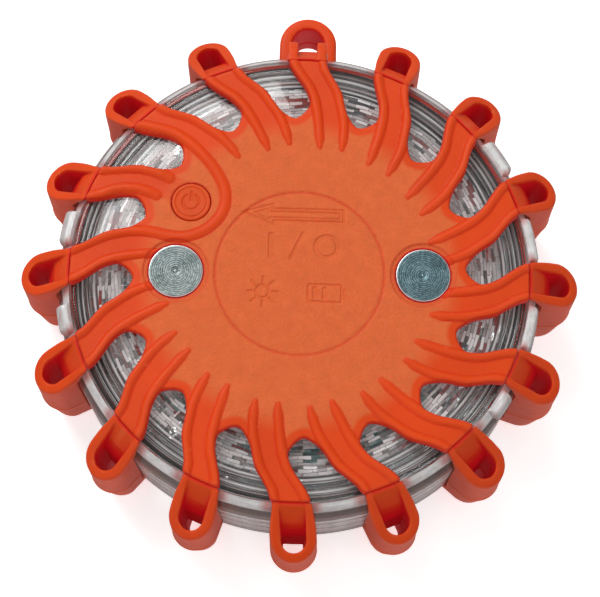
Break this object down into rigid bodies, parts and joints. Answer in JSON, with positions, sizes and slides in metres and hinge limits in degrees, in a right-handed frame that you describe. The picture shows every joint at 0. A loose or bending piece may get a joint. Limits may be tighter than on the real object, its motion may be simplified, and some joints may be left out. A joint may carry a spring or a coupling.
{
  "type": "led safety flare",
  "caption": "Round puck-shaped road warning light: clear LED housing in swept rubber arm covers with bumper loops, twist-off rear half, two magnets, a push button and a hanging eye.",
  "frame": {"origin": "centre of the front rest pad, on the disc axis; the part stands on its front face with z = 0 at the pad", "axes": "+Z along the disc axis towards the rear face with the magnets and the button, +Y towards the hanging eye, +X to the right seen from the rear"},
  "size_m": [0.108, 0.1119, 0.032],
  "materials": {
    "cover_rubber": "soft orange elastomer, fine matt grain",
    "clear_plastic": "clear polycarbonate, polished",
    "button_rubber": "orange elastomer, smooth satin",
    "seal_rubber": "black nitrile, slightly shiny",
    "magnet_plating": "zinc plated, turned face",
    "reflector_coating": "metallised plastic",
    "led_lens": "clear epoxy dome",
    "board": "teal solder mask, satin",
    "black_plastic": "black moulded plastic",
    "switch_stem": "black moulded plastic",
    "cell_wrap": "printed film over steel can, no marks",
    "spring_steel": "nickel plated strip",
    "screw_steel": "zinc plated"
  },
  "bodies": {
    "front_half": {"front_cover": "cover_rubber", "front_housing": "clear_plastic", "switch_body": "black_plastic", "main_pcb": "board", "lens_ring": "clear_plastic", "reflector_ring": "reflector_coating", "controller_chip": "black_plastic", "battery_holder": "black_plastic", "contact_negative": "spring_steel", "contact_positive": "spring_steel", "contact_link_a": "spring_steel", "contact_link_b": "spring_steel", "led_01": "led_lens", "led_02": "led_lens", "led_03": "led_lens", "led_04": "led_lens", "led_05": "led_lens", "led_06": "led_lens", "led_07": "led_lens", "led_08": "led_lens", "led_09": "led_lens", "led_10": "led_lens", "led_11": "led_lens", "led_12": "led_lens", "led_13": "led_lens", "led_14": "led_lens", "led_15": "led_lens", "led_16": "led_lens", "battery_cell_1": "cell_wrap", "battery_cell_2": "cell_wrap", "battery_cell_3": "cell_wrap", "pcb_screw_1": "screw_steel", "pcb_screw_2": "screw_steel", "pcb_screw_3": "screw_steel", "pcb_screw_4": "screw_steel"},
    "seal": {"o_ring": "seal_rubber"},
    "rear_half": {"rear_cover": "cover_rubber", "rear_housing": "clear_plastic", "magnet_left": "magnet_plating", "magnet_right": "magnet_plating", "button_seal": "seal_rubber"},
    "power_button": {"power_button": "button_rubber"},
    "switch_plunger": {"switch_plunger": "switch_stem"}
  },
  "joints": [
    {"name": "lid_lift", "type": "slide", "parent": "front_half", "child": "seal", "axis": [0, 0, 1], "range_m": [0, 0.018]},
    {"name": "lid_twist", "type": "hinge", "parent": "seal", "child": "rear_half", "pos_m": [0, 0, 0.026], "axis": [0, 0, 1], "range_deg": [0, 11.25]},
    {"name": "button_press", "type": "slide", "parent": "rear_half", "child": "power_button", "axis": [0, 0, -1], "range_m": [0, 0.0006], "stiffness_N_per_m": 2500},
    {"name": "switch_press", "type": "slide", "parent": "front_half", "child": "switch_plunger", "axis": [0, 0, -1], "range_m": [0, 0.0004]}
  ],
  "couplings": [
    {"joint": "switch_press", "follows": "button_press", "ratio": 0.6}
  ]
}
